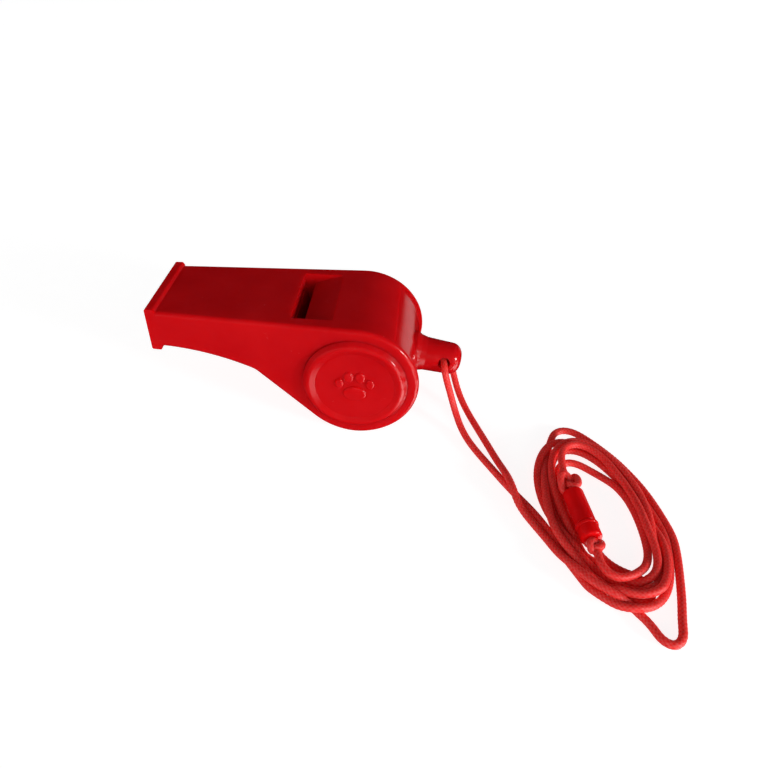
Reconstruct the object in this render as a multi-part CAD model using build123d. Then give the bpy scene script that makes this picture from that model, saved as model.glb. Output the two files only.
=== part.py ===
from build123d import *
from math import acos, atan2, cos, pi, radians, sin, tan
import os

# A pea whistle of moulded plastic with a braided neck cord. Millimetres.
# The origin is on the surface that the whistle stands on, under the middle of its length and width.
# +X runs from the mouth to the lanyard lug and +Z up. The glued side cap faces -Y.

# Whistle, outside
overall_length = 52.0
mouth_width = 16.1
chamber_width = 20.2
chamber_radius = 10.6
chamber_x = 8.2
mouth_drop = 6.6
lip_length = 1.7
lip_top = 0.5
lip_bottom = 0.6
belly_corner = (-8.7, 11.55)
belly_arc_middle = (-16.5, 13.85)
lip_flank = 0.31
lip_rounding = 0.28
edge_rounding = 0.7
corner_rounding = 3.0
plan_bend_radius = 60.0

# Whistle, inside
side_wall = 1.6
bore_radius = 8.4
seat_radius = 8.75
seat_gap = 0.02
boss_height = 0.88
boss_slope = 0.75
boss_rounding = 0.8
dish_radius = 6.6
dish_rim_radius = 7.5
dish_depth = 0.3
boss_root = 0.3
paw_height = 0.34
paw_rounding = 0.25
relief_radius = 7.2
relief_depth = 1.0
windway_width = 12.6
windway_roof = 1.3
windway_mouth_height = 4.2
windway_throat_height = 1.5
window_front = -2.35
window_back = 4.35
window_width = 14.5
throat_back_z = 14.5
bore_corner_low = (2.0, 12.0)
bore_corner_high = (6.4, 17.4)
blade_edge = 0.15
blade_x = -0.6
blade_drop = 1.85

# Back recess and lanyard lug
recess_depth = 0.45
recess_rim = 0.9
recess_top_angle = 53.0
recess_bottom_angle = -75.0
lug_base_radius = 2.95
lug_tip_radius = 2.75
lug_tip_rounding = 1.9
lug_root_depth = 2.6
lug_root_z = 10.9
lug_droop = 9.5
lug_hole_x = 22.9
lug_hole_radius = 1.05

# Pea
pea_radius = 4.2
pea_play = 0.2

# Cord and clasp
cord_diameter = 1.2
cord_hole_radius = 0.65
cord_hole_depth = 1.5
coil_height = 2.6
coil_room_play = 0.35
clasp_joint = (44.5, -29.9, 2.9)
clasp_angle = -80.0
clasp_radius = 1.6
socket_length = 6.3
clasp_rounding = 0.35
collar_radius = 1.75
collar_length = 0.6
collar_rounding = 0.2
socket_knot_radius = 1.85
plug_head_length = 2.6
plug_knot_radius = 1.3
pin_radius = 0.9
pin_length = 3.4
pin_play = 0.06
pin_chamfer = 0.25
plug_travel = 3.2
shoulder_gap = 0.1
knot_flat = 0.9
tail_lead = 0.9

mouth_x = -overall_length / 2
top_z = 2 * chamber_radius
chamber_z = chamber_radius
# The lug's foot: how far behind the shell's back each ring is, and how much wider than the lug.
lug_foot = [(-0.7, 0.75), (0.2, 0.25), (1.2, 0.0)]

# The paw print's pads: middle across and up, half width and half height.
paw_pads = [
    (0.0, -1.3, 1.9, 1.45),
    (-2.55, 0.75, 0.72, 0.95),
    (-0.95, 2.05, 0.8, 1.05),
    (0.95, 2.05, 0.8, 1.05),
    (2.55, 0.75, 0.72, 0.95),
]

near_y = -chamber_width / 2
far_y = chamber_width / 2
roof_z = top_z - windway_roof

# The cord's two strands, from the middle of the lug hole to the coil.
near_route = [
    (22.9, 0.0, 10.6),
    (22.9, -2.6, 10.6),
    (23.2, -4.0, 9.6),
    (23.7, -4.4, 7.9),
    (24.3, -4.5, 6.0),
    (24.9, -5.0, 4.2),
    (25.6, -6.1, 2.6),
    (26.5, -8.2, 1.3),
    (27.7, -10.8, 0.75),
    (29.2, -13.5, 0.62),
    (31.0, -16.4, 0.62),
    (32.9, -19.5, 0.62),
    (35.1, -22.3, 0.62),
    (37.2, -24.8, 0.62),
    (38.9, -27.3, 0.62),
]
far_route = [
    (22.9, 0.0, 10.6),
    (22.9, 2.6, 10.6),
    (23.2, 4.0, 9.6),
    (23.8, 4.3, 8.0),
    (24.5, 3.6, 6.2),
    (25.2, 2.3, 4.4),
    (25.9, 0.7, 2.8),
    (26.8, -1.3, 1.6),
    (28.0, -4.0, 0.85),
    (29.6, -7.8, 0.62),
    (31.2, -11.9, 0.66),
    (32.5, -15.6, 0.85),
    (33.4, -18.5, 1.5),
    (34.0, -20.7, 1.98),
    (34.5, -22.8, 1.98),
    (35.1, -24.8, 1.4),
    (36.1, -26.8, 0.72),
    (37.6, -29.0, 0.62),
    (39.4, -31.2, 0.62),
]

# The coil seen from above: its outer edge and the edge of its hole.
coil_outline = [
    (45.6, -5.3),
    (42.2, -7.4),
    (39.4, -14.0),
    (38.3, -21.0),
    (38.4, -27.0),
    (41.2, -34.2),
    (46.0, -38.9),
    (50.6, -42.8),
    (53.1, -47.2),
    (56.2, -43.8),
    (57.7, -36.0),
    (56.8, -26.0),
    (53.9, -16.4),
    (50.2, -8.9),
]
coil_hole = [
    (42.6, -18.2),
    (46.4, -18.4),
    (51.1, -20.8),
    (52.3, -26.0),
    (52.2, -33.0),
    (49.8, -36.2),
    (45.6, -36.4),
    (42.6, -32.8),
    (41.4, -27.0),
    (41.0, -21.5),
]

# Where the tails of the two end knots join the coil.
plug_tail_bend = [(46.6, -37.0, 2.5), (48.2, -37.6, 2.0)]
socket_tail_bend = [(43.3, -18.0, 2.2), (44.6, -16.9, 1.8)]


def cylinder_y(radius, y_from, y_to, x=chamber_x, z=chamber_z):
    """A cylinder along Y between two planes."""
    disc = Plane.XZ * Circle(radius)
    return Pos(x, y_to, z) * extrude(disc, y_to - y_from)


def outline(points):
    """A face in the XZ plane through the given corners."""
    return make_face(Plane.XZ * Polyline(*points, close=True))


def side_profile():
    """The whistle's side view: flat top, round chamber, straight belly and curved chin."""
    start = (mouth_x, top_z - mouth_drop)
    top = Polyline(start, (mouth_x, top_z), (chamber_x, top_z))
    centre = Vector(chamber_x, chamber_z)
    corner = Vector(*belly_corner)
    reach = (corner - centre).length
    meet_angle = atan2((corner - centre).Y, (corner - centre).X) + acos(chamber_radius / reach)
    meet = (chamber_x + chamber_radius * cos(meet_angle), chamber_z + chamber_radius * sin(meet_angle))
    round_back = ThreePointArc((chamber_x, top_z), (chamber_x + chamber_radius, chamber_z), meet)
    belly = Line(meet, belly_corner)
    chin = ThreePointArc(belly_corner, belly_arc_middle, start)
    return Plane.XZ * make_face([*top.edges(), round_back.edge(), belly.edge(), chin.edge()])


def plan_block():
    """The whistle's plan view, wider at the chamber than at the mouth, as a tall block."""
    half_mouth = mouth_width / 2
    corners = Polyline(
        (mouth_x, -half_mouth),
        (chamber_x, near_y),
        (overall_length, near_y),
        (overall_length, far_y),
        (chamber_x, far_y),
        (mouth_x, half_mouth),
        close=True,
    )
    plan = make_face(corners)
    bends = [corner for corner in plan.vertices() if abs(corner.X - chamber_x) < 0.01]
    plan = fillet(bends, plan_bend_radius)
    return Pos(0, 0, -5) * extrude(plan, 3 * top_z)


def picked_edges(shape, test):
    """The edges whose middle point passes the test."""
    return [edge for edge in shape.edges() if test(edge.center())]


def shell_outside():
    """The moulding's outside before its hollows are cut."""
    body = extrude(side_profile(), chamber_width / 2, both=True) & plan_block()
    corner_x, corner_z = belly_corner
    corner = picked_edges(body, lambda c: abs(c.X - corner_x) < 0.2 and abs(c.Z - corner_z) < 0.2)
    body = fillet(corner, corner_rounding)
    side_edges = picked_edges(body, lambda c: abs(c.Y) > 7 and c.X > mouth_x + 0.5)
    body = fillet(side_edges, edge_rounding)
    lip_points = [
        (mouth_x, top_z - mouth_drop - lip_bottom),
        (mouth_x, top_z + lip_top),
        (mouth_x + lip_length - lip_flank, top_z + lip_top),
        (mouth_x + lip_length, top_z),
        (mouth_x + lip_length, top_z - mouth_drop - lip_bottom),
    ]
    lip = extrude(outline(lip_points), chamber_width / 2, both=True) & plan_block()
    lip = fillet(picked_edges(lip, lambda c: abs(c.Y) < 1), lip_rounding)
    return body + lip


def back_recess():
    """The shallow step round the back, between the two side walls' rims."""
    outer = cylinder_y(chamber_radius + 3, near_y + recess_rim, far_y - recess_rim)
    inner = cylinder_y(chamber_radius - recess_depth, near_y, far_y)
    reach = 3 * chamber_radius
    top = radians(recess_top_angle)
    bottom = radians(recess_bottom_angle)
    sector = [
        (chamber_x, chamber_z),
        (chamber_x + reach * cos(top), chamber_z + reach * sin(top)),
        (chamber_x + reach, chamber_z),
        (chamber_x + reach * cos(bottom), chamber_z + reach * sin(bottom)),
    ]
    return (outer - inner) & extrude(outline(sector), chamber_width, both=True)


def lug():
    """The round lanyard lug on the back, with a flared foot and a rounded tip. It droops a little."""
    back = chamber_x + chamber_radius - recess_depth
    droop = radians(lug_droop)
    round_middle = (lug_tip_radius - lug_tip_rounding) * sin(droop)
    reach = (overall_length / 2 - back - lug_tip_rounding - round_middle) / cos(droop) + lug_tip_rounding
    foot = [(behind, lug_base_radius + wider) for behind, wider in lug_foot]
    root = -lug_root_depth
    half_view = Polyline((root, 0), (root, foot[0][1]), *foot, (reach, lug_tip_radius), (reach, 0), close=True)
    view = make_face(half_view)
    tip_corner = [v for v in view.vertices() if abs(v.X - reach) < 0.01 and v.Y > 1]
    view = fillet(tip_corner, lug_tip_rounding)
    return Pos(back, 0, lug_root_z) * Rot(0, lug_droop, 0) * revolve(view, Axis.X)


def windway():
    """The air channel from the mouth, which narrows to a slot at the window."""
    overlap = 0.1
    points = [
        (mouth_x - 1, roof_z),
        (window_front + overlap, roof_z),
        (window_front + overlap, roof_z - windway_throat_height),
        (mouth_x - 1, roof_z - windway_mouth_height),
    ]
    return extrude(outline(points), windway_width / 2, both=True)


def window():
    """The opening in the flat top, with the sloping blade at its back and the throat under it."""
    slope = blade_drop / (window_back - blade_x)
    above = 1.0
    points = [
        (window_front, top_z + above),
        (window_front, roof_z - windway_throat_height),
        (window_front + 1.0, throat_back_z),
        bore_corner_low,
        bore_corner_high,
        (blade_x, top_z - blade_drop - blade_edge),
        (blade_x, top_z - blade_drop),
        (window_back + above / slope, top_z + above),
    ]
    return extrude(outline(points), window_width / 2, both=True)


def boss(y_face, y_inner):
    """A disc with a sloped, round edge on a side wall, from its outer face to a plane inside the wall."""
    outwards = 1 if y_face > 0 else -1
    wall = y_face - outwards * boss_height
    disc = cylinder_y(seat_radius, min(wall, y_inner), max(wall, y_inner))
    low_end = (Align.CENTER, Align.CENTER, Align.MIN)
    slope = Cone(seat_radius, seat_radius - boss_slope, boss_height, align=low_end)
    disc += Pos(chamber_x, wall, chamber_z) * Rot(-90 * outwards, 0, 0) * slope
    rim = picked_edges(disc, lambda c: abs(c.Y - y_face) < 0.01)
    return fillet(rim, boss_rounding)


def make_whistle_body():
    outside = shell_outside() - back_recess() + lug()
    body = outside + boss(far_y + boss_height, far_y - boss_root)
    body -= cylinder_y(bore_radius, near_y - 2, far_y - side_wall)
    body -= cylinder_y(seat_radius, near_y - 2, near_y + side_wall)
    body -= cylinder_y(relief_radius, far_y - side_wall - 1, far_y - side_wall + relief_depth)
    body -= windway()
    body -= window()
    hole_half = lug_base_radius + 1
    body -= cylinder_y(lug_hole_radius, -hole_half, hole_half, x=lug_hole_x)
    return body


def paw_mark(y_floor):
    """A raised paw print: one large pad and four toes, each with a rounded top."""
    sunk = 0.2
    mark = []
    for across, up, half_width, half_height in paw_pads:
        pad = extrude(Plane.XZ * Ellipse(half_width, half_height), paw_height + sunk)
        pad = fillet(picked_edges(pad, lambda c: c.Y < -paw_height), paw_rounding)
        mark.append(Pos(chamber_x + across, y_floor + sunk, chamber_z + up) * pad)
    return mark


def make_side_cap():
    """The glued disc: a rounded rim round a shallow dish, and a stepped back that fits the seat."""
    face = near_y - boss_height
    back = near_y + side_wall
    cap = boss(face, back) & cylinder_y(seat_radius - seat_gap, face - 1, back)
    cap -= cylinder_y(relief_radius, back - relief_depth, back + 1)
    dish = Cone(dish_radius, dish_rim_radius, dish_depth, align=(Align.CENTER, Align.CENTER, Align.MIN))
    cap -= Pos(chamber_x, face + dish_depth, chamber_z) * Rot(90, 0, 0) * dish
    for pad in paw_mark(face + dish_depth):
        cap += pad
    return cap


def make_pea():
    drop = bore_radius - pea_radius - pea_play
    return Pos(chamber_x, 0, chamber_z - drop) * Sphere(pea_radius)


def tube(route, name):
    """A round tube along straight runs and arcs, each arc as large as its two runs allow."""
    points = [Vector(*p) for p in route]
    radii = []
    for before, at, after in zip(points, points[1:], points[2:]):
        run = min((at - before).length, (after - at).length)
        turn = (at - before).get_angle(after - at)
        radii.append(0.45 * run / tan(radians(turn / 2)))
    path = FilletPolyline(*points, radius=radii)
    start = Plane(origin=path @ 0, z_dir=path % 0)
    solid = sweep(start * Circle(cord_diameter / 2), path=path)
    section = pi * cord_diameter**2 / 4
    share = solid.volume / section / path.length
    print(name, "length", round(path.length, 1), "volume share", round(share, 4))
    print("  radii", [round(r, 1) for r in radii])
    return solid


def clasp_frame():
    """Local Z runs along the clasp from the socket towards the plug."""
    angle = radians(clasp_angle)
    return Plane(origin=clasp_joint, z_dir=(cos(angle), sin(angle), 0), x_dir=(0, 0, 1))


def make_coil():
    """The outer shape of the loosely wound coil, with a low place under the clasp."""
    outside = Spline(*coil_outline, periodic=True)
    hole = Spline(*coil_hole, periodic=True)
    coil = extrude(make_face(outside), coil_height)
    coil -= extrude(make_face(hole), coil_height)
    room_start = -socket_length - 2 * socket_knot_radius - coil_room_play
    room_end = plug_head_length + 2 * plug_knot_radius + plug_travel + coil_room_play
    room = clasp_frame() * rod(clasp_radius + coil_room_play, room_start, room_end)
    return coil - room


def rod(radius, z_from, z_to, rounding=0.0):
    """A round rod along the clasp's own Z, with its ends rounded."""
    made = Cylinder(radius, z_to - z_from, align=(Align.CENTER, Align.CENTER, Align.MIN))
    if rounding > 0:
        made = fillet(made.edges().filter_by(GeomType.CIRCLE), rounding)
    return Pos(0, 0, z_from) * made


def make_clasp_socket():
    barrel = rod(clasp_radius, -socket_length, 0, clasp_rounding)
    pin_hole = rod(pin_radius + pin_play, -pin_length - 0.3, 0)
    cord_hole = rod(cord_hole_radius, -socket_length, cord_hole_depth - socket_length)
    return clasp_frame() * (barrel - pin_hole - cord_hole)


def make_clasp_plug():
    head_end = shoulder_gap + plug_head_length
    head = rod(clasp_radius, shoulder_gap, head_end, clasp_rounding)
    collar = rod(collar_radius, shoulder_gap, shoulder_gap + collar_length, collar_rounding)
    pin = rod(pin_radius, -pin_length, 1)
    pin = chamfer(picked_edges(pin, lambda c: c.Z < -pin_length + 0.01), pin_chamfer)
    cord_hole = rod(cord_hole_radius, head_end - cord_hole_depth, head_end)
    return clasp_frame() * (head + collar + pin - cord_hole)


def knot(radius, z_from, z_to):
    """A round knot with a flat at each end."""
    middle = (z_from + z_to) / 2
    ball = Pos(0, 0, middle) * Sphere(radius)
    slab = Pos(0, 0, middle) * Box(4 * radius, 4 * radius, z_to - z_from)
    return clasp_frame() * (ball & slab)


def along_clasp(distance):
    """The point on the clasp's axis at that distance from the joint, as a tuple."""
    return tuple((clasp_frame() * Pos(0, 0, distance)).position)


def make_parts():
    head_end = shoulder_gap + plug_head_length
    socket_knot_end = -socket_length - 2 * knot_flat * socket_knot_radius
    plug_knot_end = head_end + 2 * knot_flat * plug_knot_radius
    plug_tail_route = [along_clasp(plug_knot_end), along_clasp(plug_knot_end + tail_lead), *plug_tail_bend]
    socket_lead = 1.3
    socket_tail_route = [
        along_clasp(socket_knot_end),
        along_clasp(socket_knot_end - socket_lead),
        *socket_tail_bend,
    ]
    return {
        "whistle_body": make_whistle_body(),
        "side_cap": make_side_cap(),
        "pea": make_pea(),
        "cord_near_strand": tube(near_route, "near strand"),
        "cord_far_strand": tube(far_route, "far strand"),
        "cord_coil": make_coil(),
        "cord_socket_tail": tube(socket_tail_route, "socket tail"),
        "cord_plug_tail": tube(plug_tail_route, "plug tail"),
        "clasp_socket": make_clasp_socket(),
        "socket_knot": knot(socket_knot_radius, socket_knot_end, -socket_length),
        "clasp_plug": make_clasp_plug(),
        "plug_knot": knot(plug_knot_radius, head_end, plug_knot_end),
    }


os.makedirs("parts", exist_ok=True)
for name, solid in make_parts().items():
    export_step(solid, "parts/" + name + ".step")
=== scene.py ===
from math import cos, pi, radians, sin

import bmesh
import bpy
import numpy as np
from mathutils import Matrix, Vector, noise


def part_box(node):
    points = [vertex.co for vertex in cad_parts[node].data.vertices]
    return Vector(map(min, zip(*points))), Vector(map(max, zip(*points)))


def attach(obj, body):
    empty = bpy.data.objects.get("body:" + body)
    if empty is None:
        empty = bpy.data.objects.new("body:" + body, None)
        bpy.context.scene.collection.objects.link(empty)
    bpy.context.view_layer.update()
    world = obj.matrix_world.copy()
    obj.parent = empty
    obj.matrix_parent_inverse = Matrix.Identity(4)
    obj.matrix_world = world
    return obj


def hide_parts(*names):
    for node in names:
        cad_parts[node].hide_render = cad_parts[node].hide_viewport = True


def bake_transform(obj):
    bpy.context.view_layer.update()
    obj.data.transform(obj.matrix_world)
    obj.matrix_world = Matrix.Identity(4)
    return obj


# The looks of the training whistle and its braided cord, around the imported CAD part.
# Routes are in millimetres in the row's frame, and every mesh is in metres.

MM = 0.001
CORD = 1.2  # the cord's diameter
KNOT_CORD = 1.08  # its diameter where a knot squeezes it
LYING = 0.62  # the height of a strand that lies on the floor
CLASP_JOINT = np.array([44.5, -29.9, 2.9])
CLASP_AXIS = np.array([cos(radians(-80)), sin(radians(-80)), 0.0])

# Distances along the clasp from where its halves meet: each knot's two ends, and how far a cord's
# end goes into its knot.
SOCKET_KNOT_END = -9.63
SOCKET_KNOT_START = -6.7
PLUG_KNOT_START = 2.9
PLUG_KNOT_END = 5.04
INTO_SOCKET_KNOT = 0.5
INTO_PLUG_KNOT = 0.4
PLUG_TRAVEL = 3.2
# The radius kept free at distances along the clasp: its barrel, the pulled collar, the plug and its knot.
CLASP_ROOM = ((2.4, 3.0, 4.2, 4.8, 5.9, 6.3), (1.65, 1.95, 1.95, 1.66, 1.66, 1.58))

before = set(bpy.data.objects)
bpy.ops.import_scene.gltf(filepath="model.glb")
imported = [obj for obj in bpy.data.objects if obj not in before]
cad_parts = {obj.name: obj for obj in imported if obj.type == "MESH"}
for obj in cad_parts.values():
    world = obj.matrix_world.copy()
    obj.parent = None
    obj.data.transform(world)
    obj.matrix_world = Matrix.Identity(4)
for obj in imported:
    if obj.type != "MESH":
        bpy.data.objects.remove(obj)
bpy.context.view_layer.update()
scene = bpy.context.scene


# Materials


def new_material(name, colour, roughness):
    """A node material whose uniform values are on the shader's own sockets."""
    made = bpy.data.materials.new(name)
    made.use_nodes = True
    shader = made.node_tree.nodes["Principled BSDF"]
    shader.inputs["Base Color"].default_value = (*colour, 1)
    shader.inputs["Roughness"].default_value = roughness
    return made, made.node_tree, shader


def add_node(tree, kind, inputs=None, **settings):
    node = tree.nodes.new(kind)
    for name, value in settings.items():
        setattr(node, name, value)
    for name, value in (inputs or {}).items():
        if isinstance(value, bpy.types.NodeSocket):
            tree.links.new(value, node.inputs[name])
        else:
            node.inputs[name].default_value = value
    return node


def colour_ramp(tree, factor, stops):
    """A ramp through (position, colour) stops."""
    node = add_node(tree, "ShaderNodeValToRGB", {"Fac": factor})
    elements = node.color_ramp.elements
    while len(elements) < len(stops):
        elements.new(0.5)
    for element, (position, colour) in zip(elements, stops):
        element.position = position
        element.color = (*colour, 1)
    return node.outputs["Color"]


def noise_value(tree, place, scale, detail=3.0, roughness=0.55):
    inputs = {"Vector": place, "Scale": scale, "Detail": detail, "Roughness": roughness}
    return add_node(tree, "ShaderNodeTexNoise", inputs).outputs["Fac"]


def in_range(tree, value, low, high, to_low, to_high):
    inputs = {"Value": value, "From Min": low, "From Max": high, "To Min": to_low, "To Max": to_high}
    return add_node(tree, "ShaderNodeMapRange", inputs).outputs["Result"]


SCUFF_ROUGHNESS = 0.16  # how much duller a scuff is


def moulded_plastic(name, deep, light, gloss):
    """Glossy injection-moulded plastic: cloudy pigment, faint flow waves, fine scuffs and grain."""
    made, tree, shader = new_material(name, light, gloss)
    place = add_node(tree, "ShaderNodeTexCoord").outputs["Object"]
    cloud = noise_value(tree, place, 90.0, 4.0)
    base = colour_ramp(tree, cloud, [(0.3, deep), (0.7, light)])
    tree.links.new(base, shader.inputs["Base Color"])

    scuffs = noise_value(tree, place, 900.0, 6.0, 0.75)
    worn = in_range(tree, scuffs, 0.56, 0.72, gloss, gloss + SCUFF_ROUGHNESS)
    tree.links.new(worn, shader.inputs["Roughness"])

    waves = noise_value(tree, place, 260.0, 2.0)
    grain = noise_value(tree, place, 2600.0, 3.0, 0.6)
    flow = add_node(tree, "ShaderNodeBump", {"Height": waves, "Strength": 0.10, "Distance": 0.0006})
    fine_inputs = {"Height": grain, "Strength": 0.10, "Distance": 0.00008, "Normal": flow.outputs["Normal"]}
    fine = add_node(tree, "ShaderNodeBump", fine_inputs)
    tree.links.new(fine.outputs["Normal"], shader.inputs["Normal"])

    shader.inputs["IOR"].default_value = 1.5
    shader.inputs["Specular IOR Level"].default_value = 0.4
    shader.inputs["Subsurface Weight"].default_value = 0.7
    shader.inputs["Subsurface Radius"].default_value = (1.0, 0.05, 0.05)
    shader.inputs["Subsurface Scale"].default_value = 0.0025
    return made


def braided_yarn():
    """Silky polyester with fine fibres along the yarns. Its colour follows the braid's height: painted
    shade, dark, between the yarns and a painted highlight, pale, on their crowns.
    """
    made, tree, shader = new_material("braided_yarn", (0.8, 0.01, 0.01), 0.38)
    crown = add_node(tree, "ShaderNodeAttribute", attribute_name="crown").outputs["Fac"]
    tone = add_node(tree, "ShaderNodeAttribute", attribute_name="tone").outputs["Fac"]
    strands = add_node(tree, "ShaderNodeUVMap", uv_map="along_yarn").outputs["UV"]
    fibres = noise_value(tree, strands, 34.0, 5.0, 0.7)
    # painted shade in the braid's valleys and a paler painted highlight on its crowns, set by the braid's
    # height
    stops = [(0.2, (0.7, 0.004, 0.004)), (0.65, (1.0, 0.016, 0.014)), (1.0, (1.0, 0.09, 0.08))]
    base = colour_ramp(tree, crown, stops)
    tinted = add_node(tree, "ShaderNodeMix", data_type="RGBA", blend_type="MULTIPLY")
    tinted.inputs["Factor"].default_value = 1.0
    tree.links.new(base, tinted.inputs["A"])
    shades = in_range(tree, fibres, 0.3, 0.7, 0.86, 1.14)
    both = add_node(tree, "ShaderNodeMath", {0: shades, 1: tone}, operation="MULTIPLY")
    tree.links.new(both.outputs["Value"], tinted.inputs["B"])
    tree.links.new(tinted.outputs["Result"], shader.inputs["Base Color"])
    bump = add_node(tree, "ShaderNodeBump", {"Height": fibres, "Strength": 0.35, "Distance": 0.00006})
    tree.links.new(bump.outputs["Normal"], shader.inputs["Normal"])
    shader.inputs["Sheen Weight"].default_value = 0.15
    shader.inputs["Sheen Roughness"].default_value = 0.3
    shader.inputs["Sheen Tint"].default_value = (1.0, 0.25, 0.2, 1)
    shader.inputs["Subsurface Weight"].default_value = 0.6
    shader.inputs["Subsurface Radius"].default_value = (1.0, 0.1, 0.1)
    shader.inputs["Subsurface Scale"].default_value = 0.0006
    shader.inputs["Specular IOR Level"].default_value = 0.4
    return made


def pressed_cork():
    made, tree, shader = new_material("pressed_cork", (0.5, 0.3, 0.16), 0.85)
    place = add_node(tree, "ShaderNodeTexCoord").outputs["Object"]
    granules = add_node(tree, "ShaderNodeTexVoronoi", {"Vector": place, "Scale": 1300.0})
    base_stops = [(0.0, (0.55, 0.34, 0.18)), (0.55, (0.42, 0.24, 0.12)), (1.0, (0.2, 0.1, 0.05))]
    base = colour_ramp(tree, noise_value(tree, granules.outputs["Position"], 1500.0), base_stops)
    tree.links.new(base, shader.inputs["Base Color"])
    pits = {"Height": granules.outputs["Distance"], "Strength": 0.5, "Distance": 0.0002}
    bump = add_node(tree, "ShaderNodeBump", pits)
    tree.links.new(bump.outputs["Normal"], shader.inputs["Normal"])
    return made


def pale_floor():
    made, tree, shader = new_material("pale_floor", (0.4, 0.4, 0.4), 0.8)
    place = add_node(tree, "ShaderNodeTexCoord").outputs["Object"]
    paper = in_range(tree, noise_value(tree, place, 300.0), 0.3, 0.7, 0.39, 0.41)
    tree.links.new(paper, shader.inputs["Base Color"])
    shader.inputs["Specular IOR Level"].default_value = 0.0
    shader.inputs["Emission Color"].default_value = (1, 1, 1, 1)
    shader.inputs["Emission Strength"].default_value = 0.86
    return made


# The cord's line

# The cord's two strands, from the middle of the lug hole to the coil.
NEAR_LEAD = [
    (22.9, 0.0, 10.6), (22.9, -2.6, 10.6), (23.2, -4.0, 9.6), (23.7, -4.4, 7.9), (24.3, -4.5, 6.0),
    (24.9, -5.0, 4.2), (25.6, -6.1, 2.6), (26.5, -8.2, 1.3), (27.7, -10.8, 0.75), (29.2, -13.5, 0.62),
    (31.0, -16.4, 0.62), (32.9, -19.5, 0.62), (35.0, -22.6, 0.62), (37.0, -25.2, 0.62), (38.7, -27.6, 0.62),
]
FAR_LEAD = [
    (22.9, 0.0, 10.6), (22.9, 2.6, 10.6), (23.2, 4.0, 9.6), (23.8, 4.3, 8.0), (24.5, 3.6, 6.2),
    (25.2, 2.3, 4.4), (25.9, 0.7, 2.8), (26.8, -1.3, 1.6), (28.0, -4.0, 0.85), (29.6, -7.8, 0.62),
    (31.2, -11.9, 0.66), (32.5, -15.6, 0.85), (33.4, -18.5, 1.5), (34.0, -20.7, 1.98), (34.5, -22.8, 1.98),
    (35.1, -24.8, 1.4), (36.3, -26.5, 0.72), (37.9, -28.7, 0.62), (39.6, -30.9, 0.62),
]


def turns(rows, step=20):
    """Points round the coil, anticlockwise from above. A row is an angle and the turn's middle x and y,
    half width, half length, lean and height there, and they change evenly from row to row."""
    rows = np.array(rows, float)
    points = []
    for angle in np.arange(rows[0, 0], rows[-1, 0] + 0.1, step):
        columns = [np.interp(angle, rows[:, 0], rows[:, k]) for k in range(1, 7)]
        x, y, half_width, half_length, lean, z = columns
        c, s = cos(radians(angle)), sin(radians(angle))
        points.append((x + half_width * c - lean * s, y + half_length * s, z))
    return points


NEAR_TURNS = [
    (215, 47.8, -25.6, 7.9, 15.4, 2.8, 1.6),
    (250, 47.8, -25.6, 7.9, 15.6, 2.8, 1.9),
    (320, 47.8, -25.6, 7.9, 15.6, 2.8, 0.7),
    (400, 47.8, -25.3, 7.6, 15.4, 2.8, 0.8),
    (540, 47.6, -25.5, 7.4, 15.0, 2.7, 1.4),
    (680, 47.8, -25.3, 7.6, 14.9, 2.7, 2.0),
    (760, 47.8, -25.0, 7.2, 14.9, 2.7, 2.2),
    (900, 47.5, -25.2, 6.4, 13.7, 2.6, 2.6),
    (1030, 47.6, -25.4, 7.3, 14.0, 2.6, 2.8),
    (1095, 47.6, -24.8, 6.6, 13.0, 2.6, 3.0),
]
NEAR_END = [
    (51.6, -17.2, 3.2), (50.2, -14.2, 3.3), (48.2, -12.3, 3.4), (46.1, -11.8, 3.5), (44.3, -12.7, 3.6),
    (43.1, -14.6, 3.6), (42.5, -16.7, 3.4), (42.5, -18.8, 3.1),
]
# The far strand's first turn is the coil's loosest loop, with the narrow tip at its lower end.
FAR_LOOP = [
    (41.2, -33.4, 0.9), (43.2, -35.8, 1.6), (45.2, -37.8, 1.9), (47.4, -39.3, 1.9), (49.3, -40.6, 1.4),
    (50.7, -42.4, 0.9), (51.8, -44.4, 0.7), (52.4, -46.3, 0.62), (53.9, -47.4, 0.62), (55.4, -46.3, 0.62),
    (55.9, -43.6, 0.62), (56.6, -40.6, 0.62), (57.0, -37.2, 0.62), (57.1, -33.6, 0.62), (56.8, -29.8, 0.8),
    (56.3, -26.0, 1.0), (55.4, -22.0, 1.2), (54.0, -18.2, 1.4), (52.6, -14.2, 1.3), (50.9, -10.9, 0.9),
    (48.8, -8.2, 0.62), (46.6, -6.3, 0.62), (44.6, -6.1, 0.62), (43.1, -7.2, 0.62), (42.3, -9.4, 0.62),
    (41.4, -12.4, 0.8), (40.5, -16.2, 1.2), (39.9, -19.8, 1.4), (39.6, -23.4, 1.6), (39.8, -27.0, 1.9),
    (40.7, -30.6, 2.0),
]
FAR_TURN = [
    (225, 47.7, -25.4, 7.4, 15.2, 2.8, 2.0),
    (320, 47.8, -25.5, 7.6, 15.2, 2.8, 2.0),
    (380, 47.9, -25.3, 7.2, 14.2, 2.7, 2.0),
    (450, 47.6, -25.0, 6.9, 13.4, 2.6, 1.8),
    (540, 47.5, -25.4, 7.0, 14.0, 2.6, 0.7),
    (570, 47.4, -25.4, 6.6, 14.0, 2.6, 0.62),
]
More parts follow.
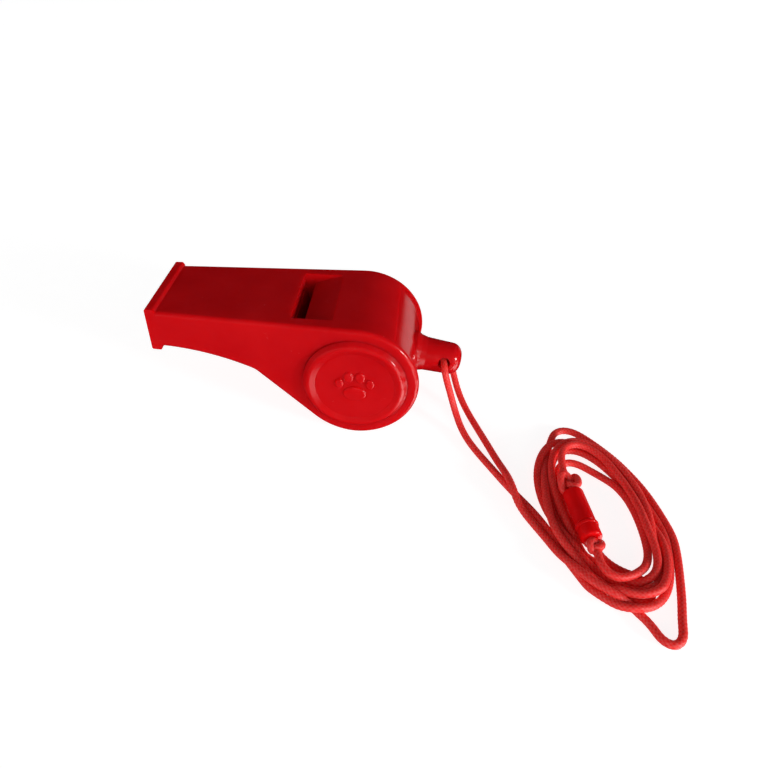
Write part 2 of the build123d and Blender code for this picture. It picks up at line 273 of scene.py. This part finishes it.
# It folds back under the bundle, hooks over the clasp's upper end, crosses the hole and reaches the plug.
FAR_FOLD = [
    (43.8, -34.8, 0.62), (45.2, -37.0, 0.62), (46.8, -39.0, 0.62), (48.6, -40.6, 0.62), (50.7, -41.2, 0.62),
    (52.4, -40.2, 0.62), (52.5, -38.3, 0.62), (51.0, -36.9, 0.62), (48.9, -36.2, 0.62), (46.9, -34.8, 0.62),
    (45.4, -32.6, 0.62), (44.1, -30.8, 0.7), (43.0, -28.4, 1.0), (42.2, -26.0, 1.6),
    (41.8, -23.4, 2.4), (41.6, -20.6, 2.8), (41.8, -18.2, 3.0), (42.6, -16.4, 3.0), (44.1, -15.5, 3.0),
    (45.9, -15.8, 2.8), (47.8, -16.8, 2.4), (49.8, -17.9, 2.0), (51.6, -19.3, 1.8), (52.8, -21.4, 2.0),
    (53.3, -24.2, 2.2), (53.5, -27.4, 2.2), (53.5, -30.4, 2.0), (53.1, -33.4, 2.0), (52.1, -35.8, 2.0),
    (50.6, -37.3, 2.1),
]
# The last stretch is a piece of its own; on the real cord it bends when the plug is pulled out.
PLUG_TAIL = [(49.0, -38.2, 2.3), (47.3, -38.6, 2.5), (45.9, -37.9, 2.75), (45.35, -36.2, 2.88)]

# How the coil settles, in so many rounds: all the while nearby strands are pushed a diameter apart,
# and for the first part of it they also sink, are drawn together and are held near their own places.
NODE_STEP = 0.8
ROUNDS = 260
SINKING_PART = 0.8
SINK = 0.02
HOLD = 0.015
REACH = 2.2  # strands nearer than this are drawn together
COHESION = 0.025
EVENING = 0.4  # how much each point's move follows its neighbours' moves
LEAD_OVERLAP = 4  # the lead's last points, which settle with the coil
FIXED_NEAR_END = 2.5  # the last length of each strand, before the clasp, that stays where it is
FIXED_FAR_END = 8.0
RING_STEP = 0.105
TAIL_LENGTH = 9.0
TAIL_OVERLAP = 3  # rings that the far half and its tail share


def nurbs_line(points):
    """The smooth line of a NURBS spline with those control points, as Blender draws it."""
    curve = bpy.data.curves.new("line", "CURVE")
    curve.dimensions = "3D"
    curve.resolution_u = 12
    spline = curve.splines.new("NURBS")
    spline.points.add(len(points) - 1)
    for control, point in zip(spline.points, points):
        control.co = (*point, 1)
    spline.order_u = 3
    spline.use_endpoint_u = True
    carrier = bpy.data.objects.new("line", curve)
    drawn = bpy.data.meshes.new_from_object(carrier)
    line = np.array([vertex.co for vertex in drawn.vertices], float)
    bpy.data.meshes.remove(drawn)
    bpy.data.objects.remove(carrier)
    bpy.data.curves.remove(curve)
    return line


def spaced(line, step):
    """The same line with evenly spaced points."""
    along = np.r_[0, np.cumsum(np.linalg.norm(np.diff(line, axis=0), axis=1))]
    places = np.linspace(0, along[-1], int(round(along[-1] / step)) + 1)
    return np.column_stack([np.interp(places, along, line[:, k]) for k in range(3)])


def clear_of_clasp(x, loose):
    """Moves points down and out of the clasp, its knots and the room that the plug needs."""
    along = np.clip((x - CLASP_JOINT) @ CLASP_AXIS, SOCKET_KNOT_END, PLUG_KNOT_END + PLUG_TRAVEL)
    middle = CLASP_JOINT + along[:, None] * CLASP_AXIS
    away = x - middle
    away[:, 2] = -np.abs(away[:, 2])
    gap = np.maximum(np.linalg.norm(away, axis=1), 1e-6)
    room = np.interp(along, *CLASP_ROOM) + CORD / 2
    inside = (gap < room) & loose
    x[inside] = middle[inside] + away[inside] * (room[inside] / gap[inside])[:, None]


def settle(ropes, loose_parts):
    """Lets the coil's points sink onto the floor and onto each other, a diameter apart, and draws
    strands that run close by together, as a hand does that winds them."""
    x = np.vstack(ropes)
    home = x.copy()
    loose = np.concatenate(loose_parts)
    rope_of = np.repeat(np.arange(len(ropes)), [len(rope) for rope in ropes])
    inner = loose.copy()
    inner[np.cumsum([len(rope) for rope in ropes]) - 1] = False
    i, j = np.triu_indices(len(x), 1)
    apart = (rope_of[i] != rope_of[j]) | (j - i > 3)
    i, j = i[apart], j[apart]
    for n in range(ROUNDS):
        sinking = n < SINKING_PART * ROUNDS
        if n % 10 == 0:
            near = np.linalg.norm(x[i] - x[j], axis=1) < 2 * CORD
            a, b = i[near], j[near]
        if sinking:
            x[loose, 2] -= SINK
            x[loose, :2] += HOLD * (home[loose, :2] - x[loose, :2])
        for _ in range(3):
            moved = x - home
            even = np.zeros_like(x)
            even[1:-1] = (moved[:-2] + moved[2:]) / 2 - moved[1:-1]
            x[inner] += EVENING * even[inner]
        for _ in range(3):
            between = x[b] - x[a]
            distance = np.maximum(np.linalg.norm(between, axis=1), 1e-6)
            close = distance < (REACH if sinking else CORD)
            strength = np.where(distance[close] < CORD, 0.5, COHESION)
            push = between[close] * (strength * (CORD - distance[close]) / distance[close])[:, None]
            move = np.zeros_like(x)
            count = np.zeros(len(x))
            np.add.at(move, a[close], -push)
            np.add.at(move, b[close], push)
            np.add.at(count, a[close], 1)
            np.add.at(count, b[close], 1)
            pushed = loose & (count > 0)
            x[pushed] += move[pushed] / np.maximum(1, 0.6 * count[pushed])[:, None]
            clear_of_clasp(x, loose)
            x[:, 2] = np.maximum(x[:, 2], LYING)
    return np.split(x, np.cumsum([len(rope) for rope in ropes])[:-1])


def laid_out(lead, coil, fixed_end):
    """Evenly spaced points of one strand, which of them the settling may move, and the first of those."""
    line = spaced(nurbs_line(lead + coil), NODE_STEP)
    first = int(np.linalg.norm(line - np.array(lead[-LEAD_OVERLAP]), axis=1).argmin())
    loose = np.zeros(len(line), bool)
    loose[first : len(line) - int(fixed_end / NODE_STEP)] = True
    return line, loose, first


near_coil = turns(NEAR_TURNS) + NEAR_END
far_coil = FAR_LOOP + turns(FAR_TURN) + FAR_FOLD + PLUG_TAIL
near_points, near_loose, near_first = laid_out(NEAR_LEAD, near_coil, FIXED_NEAR_END)
far_points, far_loose, far_first = laid_out(FAR_LEAD, far_coil, FIXED_FAR_END)
near_points, far_points = settle([near_points, far_points], [near_loose, far_loose])

socket_end = tuple(CLASP_JOINT + (SOCKET_KNOT_END + INTO_SOCKET_KNOT) * CLASP_AXIS)
plug_end = tuple(CLASP_JOINT + (PLUG_KNOT_END - INTO_PLUG_KNOT) * CLASP_AXIS)
near_route = [tuple(p) for p in near_points[near_first:]]
far_route = [tuple(p) for p in far_points[far_first:]]
near_line = nurbs_line(NEAR_LEAD[:-LEAD_OVERLAP] + near_route + [socket_end])
far_line = nurbs_line(FAR_LEAD[:-LEAD_OVERLAP] + far_route + [plug_end])


# Meshes


def frames_along(line):
    """Two directions across the line at each point, turning with it and not about it."""
    ahead = np.gradient(line, axis=0)
    ahead /= np.linalg.norm(ahead, axis=1)[:, None]
    side = np.cross(ahead[0], (0.0, 0.0, 1.0))
    if np.linalg.norm(side) < 0.1:
        side = np.cross(ahead[0], (1.0, 0.0, 0.0))
    sides = []
    for direction in ahead:
        side = side - direction * (side @ direction)
        side /= np.linalg.norm(side)
        sides.append(side)
    sides = np.array(sides)
    return sides, np.cross(ahead, sides)


CARRIERS = 6  # yarns each way round
BRAID_PITCH = 3.9
AROUND = 36
VALLEY = 0.82  # the braid's least radius, as a part of the cord's, and the rise from it to the crowns
CROWN_RISE = 0.19


def braid(along, angle):
    """The braid's height, from 0 between the yarns to 1 on their crowns, and each yarn's own tone."""
    one = CARRIERS * (angle / (2 * pi) + along / BRAID_PITCH)
    other = CARRIERS * (angle / (2 * pi) - along / BRAID_PITCH)
    heights = []
    for yarn, cross, sign in ((one, other, 1), (other, one, -1)):
        across = 2 * (yarn - np.floor(yarn)) - 1
        body = np.sqrt(np.maximum(0, 1 - across**2))
        over = sign * (-1.0) ** np.floor(yarn) * np.cos(pi * (cross - 0.5))
        heights.append(0.5 * body + 0.25 * (over + 1))
    first_on_top = heights[0] > heights[1]
    height = np.maximum(*heights)
    one_tone = 0.93 + 0.07 * np.sin(2.4 * np.floor(one))
    other_tone = 1.0 + 0.06 * np.sin(1.7 * np.floor(other))
    tone = np.where(first_on_top, one_tone, other_tone)
    across = np.where(first_on_top, one, other)
    lengthways = np.where(first_on_top, other, one)
    return height, tone, across, lengthways


def braided_tube(name, line, diameter=CORD, start=0.0):
    """A closed tube round the line whose surface is a round braid, in metres."""
    line = spaced(line, RING_STEP)
    sides, ups = frames_along(line)
    along = start + RING_STEP * np.arange(len(line))[:, None]
    angle = 2 * pi * np.arange(AROUND)[None, :] / AROUND
    height, tone, across, lengthways = braid(along, angle + 0 * along)
    radius = diameter / 2 * (VALLEY + CROWN_RISE * height)
    ring = sides[:, None, :] * np.cos(angle)[:, :, None] + ups[:, None, :] * np.sin(angle)[:, :, None]
    points = (line[:, None, :] + ring * radius[:, :, None]).reshape(-1, 3)
    points = np.vstack([points, line[0], line[-1]]) * MM
    faces = []
    last_ring = (len(line) - 1) * AROUND
    for k in range(len(line) - 1):
        for m in range(AROUND):
            n = (m + 1) % AROUND
            a, b = k * AROUND + m, k * AROUND + n
            faces.append((a, b, b + AROUND, a + AROUND))
    for m in range(AROUND):
        n = (m + 1) % AROUND
        faces.append((n, m, len(points) - 2))
        faces.append((last_ring + m, last_ring + n, len(points) - 1))
    mesh = bpy.data.meshes.new(name)
    mesh.from_pydata(points.tolist(), [], faces)
    for label, values in (("crown", height), ("tone", tone)):
        attribute = mesh.attributes.new(label, "FLOAT", "POINT")
        attribute.data.foreach_set("value", np.r_[values.ravel(), 0.5, 0.5].astype(np.float32))
    uv = mesh.uv_layers.new(name="along_yarn")
    corners = np.array([loop.vertex_index for loop in mesh.loops])
    flat = np.column_stack([np.r_[across.ravel(), 0, 0], 0.12 * np.r_[lengthways.ravel(), 0, 0]])
    uv.data.foreach_set("uv", flat[corners].astype(np.float32).ravel())
    mesh.polygons.foreach_set("use_smooth", np.ones(len(mesh.polygons), bool))
    made = bpy.data.objects.new(name, mesh)
    scene.collection.objects.link(made)
    return made, line


def finished(piece, material):
    piece.data.materials.clear()
    piece.data.materials.append(material)
    return piece


def clasp_place(across, up, along):
    """A point in the clasp's own directions, in millimetres of the row's frame."""
    sideways = np.array([-CLASP_AXIS[1], CLASP_AXIS[0], 0.0])
    return CLASP_JOINT + across * sideways + (0, 0, up) + along * CLASP_AXIS


def overhand_knot(name, middle, size, length):
    """A tight overhand knot: the cord crosses itself three times round the clasp's axis."""
    points = []
    for k in range(37):
        t = 2 * pi * k / 36
        across = size * (sin(t) + 2 * sin(2 * t)) / 3
        up = size * (cos(t) - 2 * cos(2 * t)) / 3
        points.append(clasp_place(across, up, middle - length * sin(3 * t)))
    knot, _ = braided_tube(name, nurbs_line([tuple(p) for p in points]), diameter=KNOT_CORD)
    return knot


def cork_ball():
    """The pea, slightly out of round and pitted, in the place of the CAD one."""
    low, high = [Vector(corner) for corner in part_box("pea")]
    middle, radius = (low + high) / 2, (high - low).x / 2
    shape = bmesh.new()
    bmesh.ops.create_icosphere(shape, subdivisions=5, radius=radius)
    for vertex in shape.verts:
        direction = vertex.co.normalized()
        dents = noise.noise(direction * 2.2) * 0.012 + max(0.0, noise.noise(direction * 9.0) - 0.25) * 0.05
        vertex.co = middle + direction * radius * (0.985 - dents)
    for face in shape.faces:
        face.smooth = True
    mesh = bpy.data.meshes.new("cork_pea")
    shape.to_mesh(mesh)
    shape.free()
    made = bpy.data.objects.new("cork_pea", mesh)
    scene.collection.objects.link(made)
    return made


# The object

red_plastic = moulded_plastic("red_plastic", (0.56, 0.003, 0.006), (0.66, 0.006, 0.009), 0.15)
clasp_plastic = moulded_plastic("clasp_plastic", (0.86, 0.004, 0.006), (0.96, 0.008, 0.01), 0.16)
yarn = braided_yarn()
cork = pressed_cork()

for node, material in (
    ("whistle_body", red_plastic),
    ("side_cap", red_plastic),
    ("clasp_socket", clasp_plastic),
    ("clasp_plug", clasp_plastic),
):
    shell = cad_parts[node]
    shell.data.materials.clear()
    shell.data.materials.append(material)

far_spaced = spaced(far_line, RING_STEP)
tail_rings = int(TAIL_LENGTH / RING_STEP)
far_cord, far_path = braided_tube("cord_far_half", far_spaced[: -tail_rings + TAIL_OVERLAP])
tail_start = RING_STEP * (len(far_spaced) - tail_rings)
plug_tail, tail_path = braided_tube("cord_plug_end", far_spaced[-tail_rings:], start=tail_start)
near_cord, near_path = braided_tube("cord_near_half", near_line)
socket_knot = overhand_knot("knot_in_socket", (SOCKET_KNOT_END + SOCKET_KNOT_START) / 2, 1.6, 1.4)
plug_knot = overhand_knot("knot_in_plug", (PLUG_KNOT_END + PLUG_KNOT_START) / 2, 0.95, 0.6)
pea = cork_ball()

for piece in (far_cord, plug_tail, near_cord, socket_knot, plug_knot):
    finished(piece, yarn)
finished(pea, cork)

for piece in (far_cord, near_cord, socket_knot):
    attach(piece, "whistle")
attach(plug_knot, "clasp_plug")
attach(pea, "pea")
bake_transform(plug_tail)

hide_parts("cord_near_strand", "cord_coil", "cord_socket_tail")
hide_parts("cord_far_strand")
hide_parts("cord_plug_tail")
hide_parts("socket_knot")
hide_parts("plug_knot")
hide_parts("pea")


# The studio

floor_mesh = bpy.data.meshes.new("floor")
reach = 30.0
floor_corners = [(-reach, -reach, 0), (reach, -reach, 0), (reach, reach, 0), (-reach, reach, 0)]
floor_mesh.from_pydata(floor_corners, [], [(0, 1, 2, 3)])
floor = bpy.data.objects.new("floor", floor_mesh)
scene.collection.objects.link(floor)
floor_mesh.materials.append(pale_floor())
floor.visible_glossy = False
floor.visible_diffuse = False

camera_data = bpy.data.cameras.new("camera")
camera_data.sensor_width = 36.0
camera_data.lens = 31.29
camera_data.clip_start = 0.005
camera = bpy.data.objects.new("camera", camera_data)
scene.collection.objects.link(camera)
right = Vector((0.99703, 0.07412, 0.02080))
up = Vector((-0.06236, 0.61902, 0.78289))
back = right.cross(up)
turn = Matrix((right, up, back)).transposed().to_4x4()
camera.matrix_world = Matrix.Translation((0.0180, -0.0961, 0.0796)) @ turn
scene.camera = camera


def soft_light(name, place, size, power, reflected):
    data = bpy.data.lights.new(name, "AREA")
    data.shape = "RECTANGLE"
    data.size, data.size_y = size
    data.energy = power
    lamp = bpy.data.objects.new(name, data)
    scene.collection.objects.link(lamp)
    lamp.location = place
    lamp.visible_camera = False
    lamp.visible_glossy = reflected
    lamp.rotation_mode = "QUATERNION"
    lamp.rotation_quaternion = (Vector(LAMP_AIM) - Vector(place)).to_track_quat("-Z", "Y")


LAMP_AIM = (0.015, -0.01, 0.008)
FRONT_LIGHT = 2.05
BACK_LIGHT = 0.5
OVERHEAD = 0.12
FLOOR_LIGHT = 0.62  # what the pale floor throws back up at the whistle
LIT_POOL = (0.72, -0.45, -0.53)  # where the floor is brightest, seen from the whistle
FAR_POOL = (0.56, 0.81, -0.17)  # the lit floor behind it

soft_light("right", (0.46, -0.25, 0.12), (0.07, 0.09), 1.3, True)
soft_light("behind", (0.34, 0.55, 0.05), (0.45, 0.09), 0.8, False)


def lit_pool(tree, direction, middle, edge, core, level):
    """A round bright patch that fades out from its core to its edge, both as cosines from its middle."""
    nearness = add_node(tree, "ShaderNodeVectorMath", {0: direction, 1: middle}, operation="DOT_PRODUCT")
    return in_range(tree, nearness.outputs["Value"], edge, core, 0.0, level)


def studio_world():
    """A room that is bright and low in front of the whistle, dimmer behind it and dark overhead.
    Reflections see only the two lit pools, and the camera sees a plain white backdrop."""
    world = bpy.data.worlds.new("studio")
    world.use_nodes = True
    tree = world.node_tree
    direction = add_node(tree, "ShaderNodeTexCoord").outputs["Generated"]
    parts = add_node(tree, "ShaderNodeSeparateXYZ", {"Vector": direction})
    front = in_range(tree, parts.outputs["Y"], 0.2, -0.8, BACK_LIGHT, FRONT_LIGHT)
    above = in_range(tree, parts.outputs["Z"], 0.3, 0.6, 1.0, OVERHEAD)
    sky = add_node(tree, "ShaderNodeMath", {0: front, 1: above}, operation="MULTIPLY")
    over_floor = add_node(tree, "ShaderNodeMath", {0: parts.outputs["Z"], 1: 0.0}, operation="GREATER_THAN")
    level = add_node(tree, "ShaderNodeMix", {"Factor": over_floor.outputs["Value"]}, data_type="FLOAT")
    level.inputs["A"].default_value = FLOOR_LIGHT
    tree.links.new(sky.outputs["Value"], level.inputs["B"])
    near_pool = lit_pool(tree, direction, LIT_POOL, 0.82, 0.97, 3.6)
    far_pool = lit_pool(tree, direction, FAR_POOL, 0.975, 0.992, 0.6)
    pools = add_node(tree, "ShaderNodeMath", {0: near_pool, 1: far_pool}, operation="ADD")
    rays = add_node(tree, "ShaderNodeLightPath")
    seen = add_node(tree, "ShaderNodeMix", {"Factor": rays.outputs["Is Glossy Ray"]}, data_type="FLOAT")
    tree.links.new(level.outputs["Result"], seen.inputs["A"])
    tree.links.new(pools.outputs["Value"], seen.inputs["B"])
    backdrop = add_node(tree, "ShaderNodeMix", {"Factor": rays.outputs["Is Camera Ray"]}, data_type="FLOAT")
    tree.links.new(seen.outputs["Result"], backdrop.inputs["A"])
    backdrop.inputs["B"].default_value = 1.0
    background = tree.nodes["Background"]
    background.inputs["Color"].default_value = (1, 1, 1, 1)
    tree.links.new(backdrop.outputs["Result"], background.inputs["Strength"])
    return world


scene.world = studio_world()
scene.view_settings.view_transform = "Standard"

bpy.context.view_layer.update()
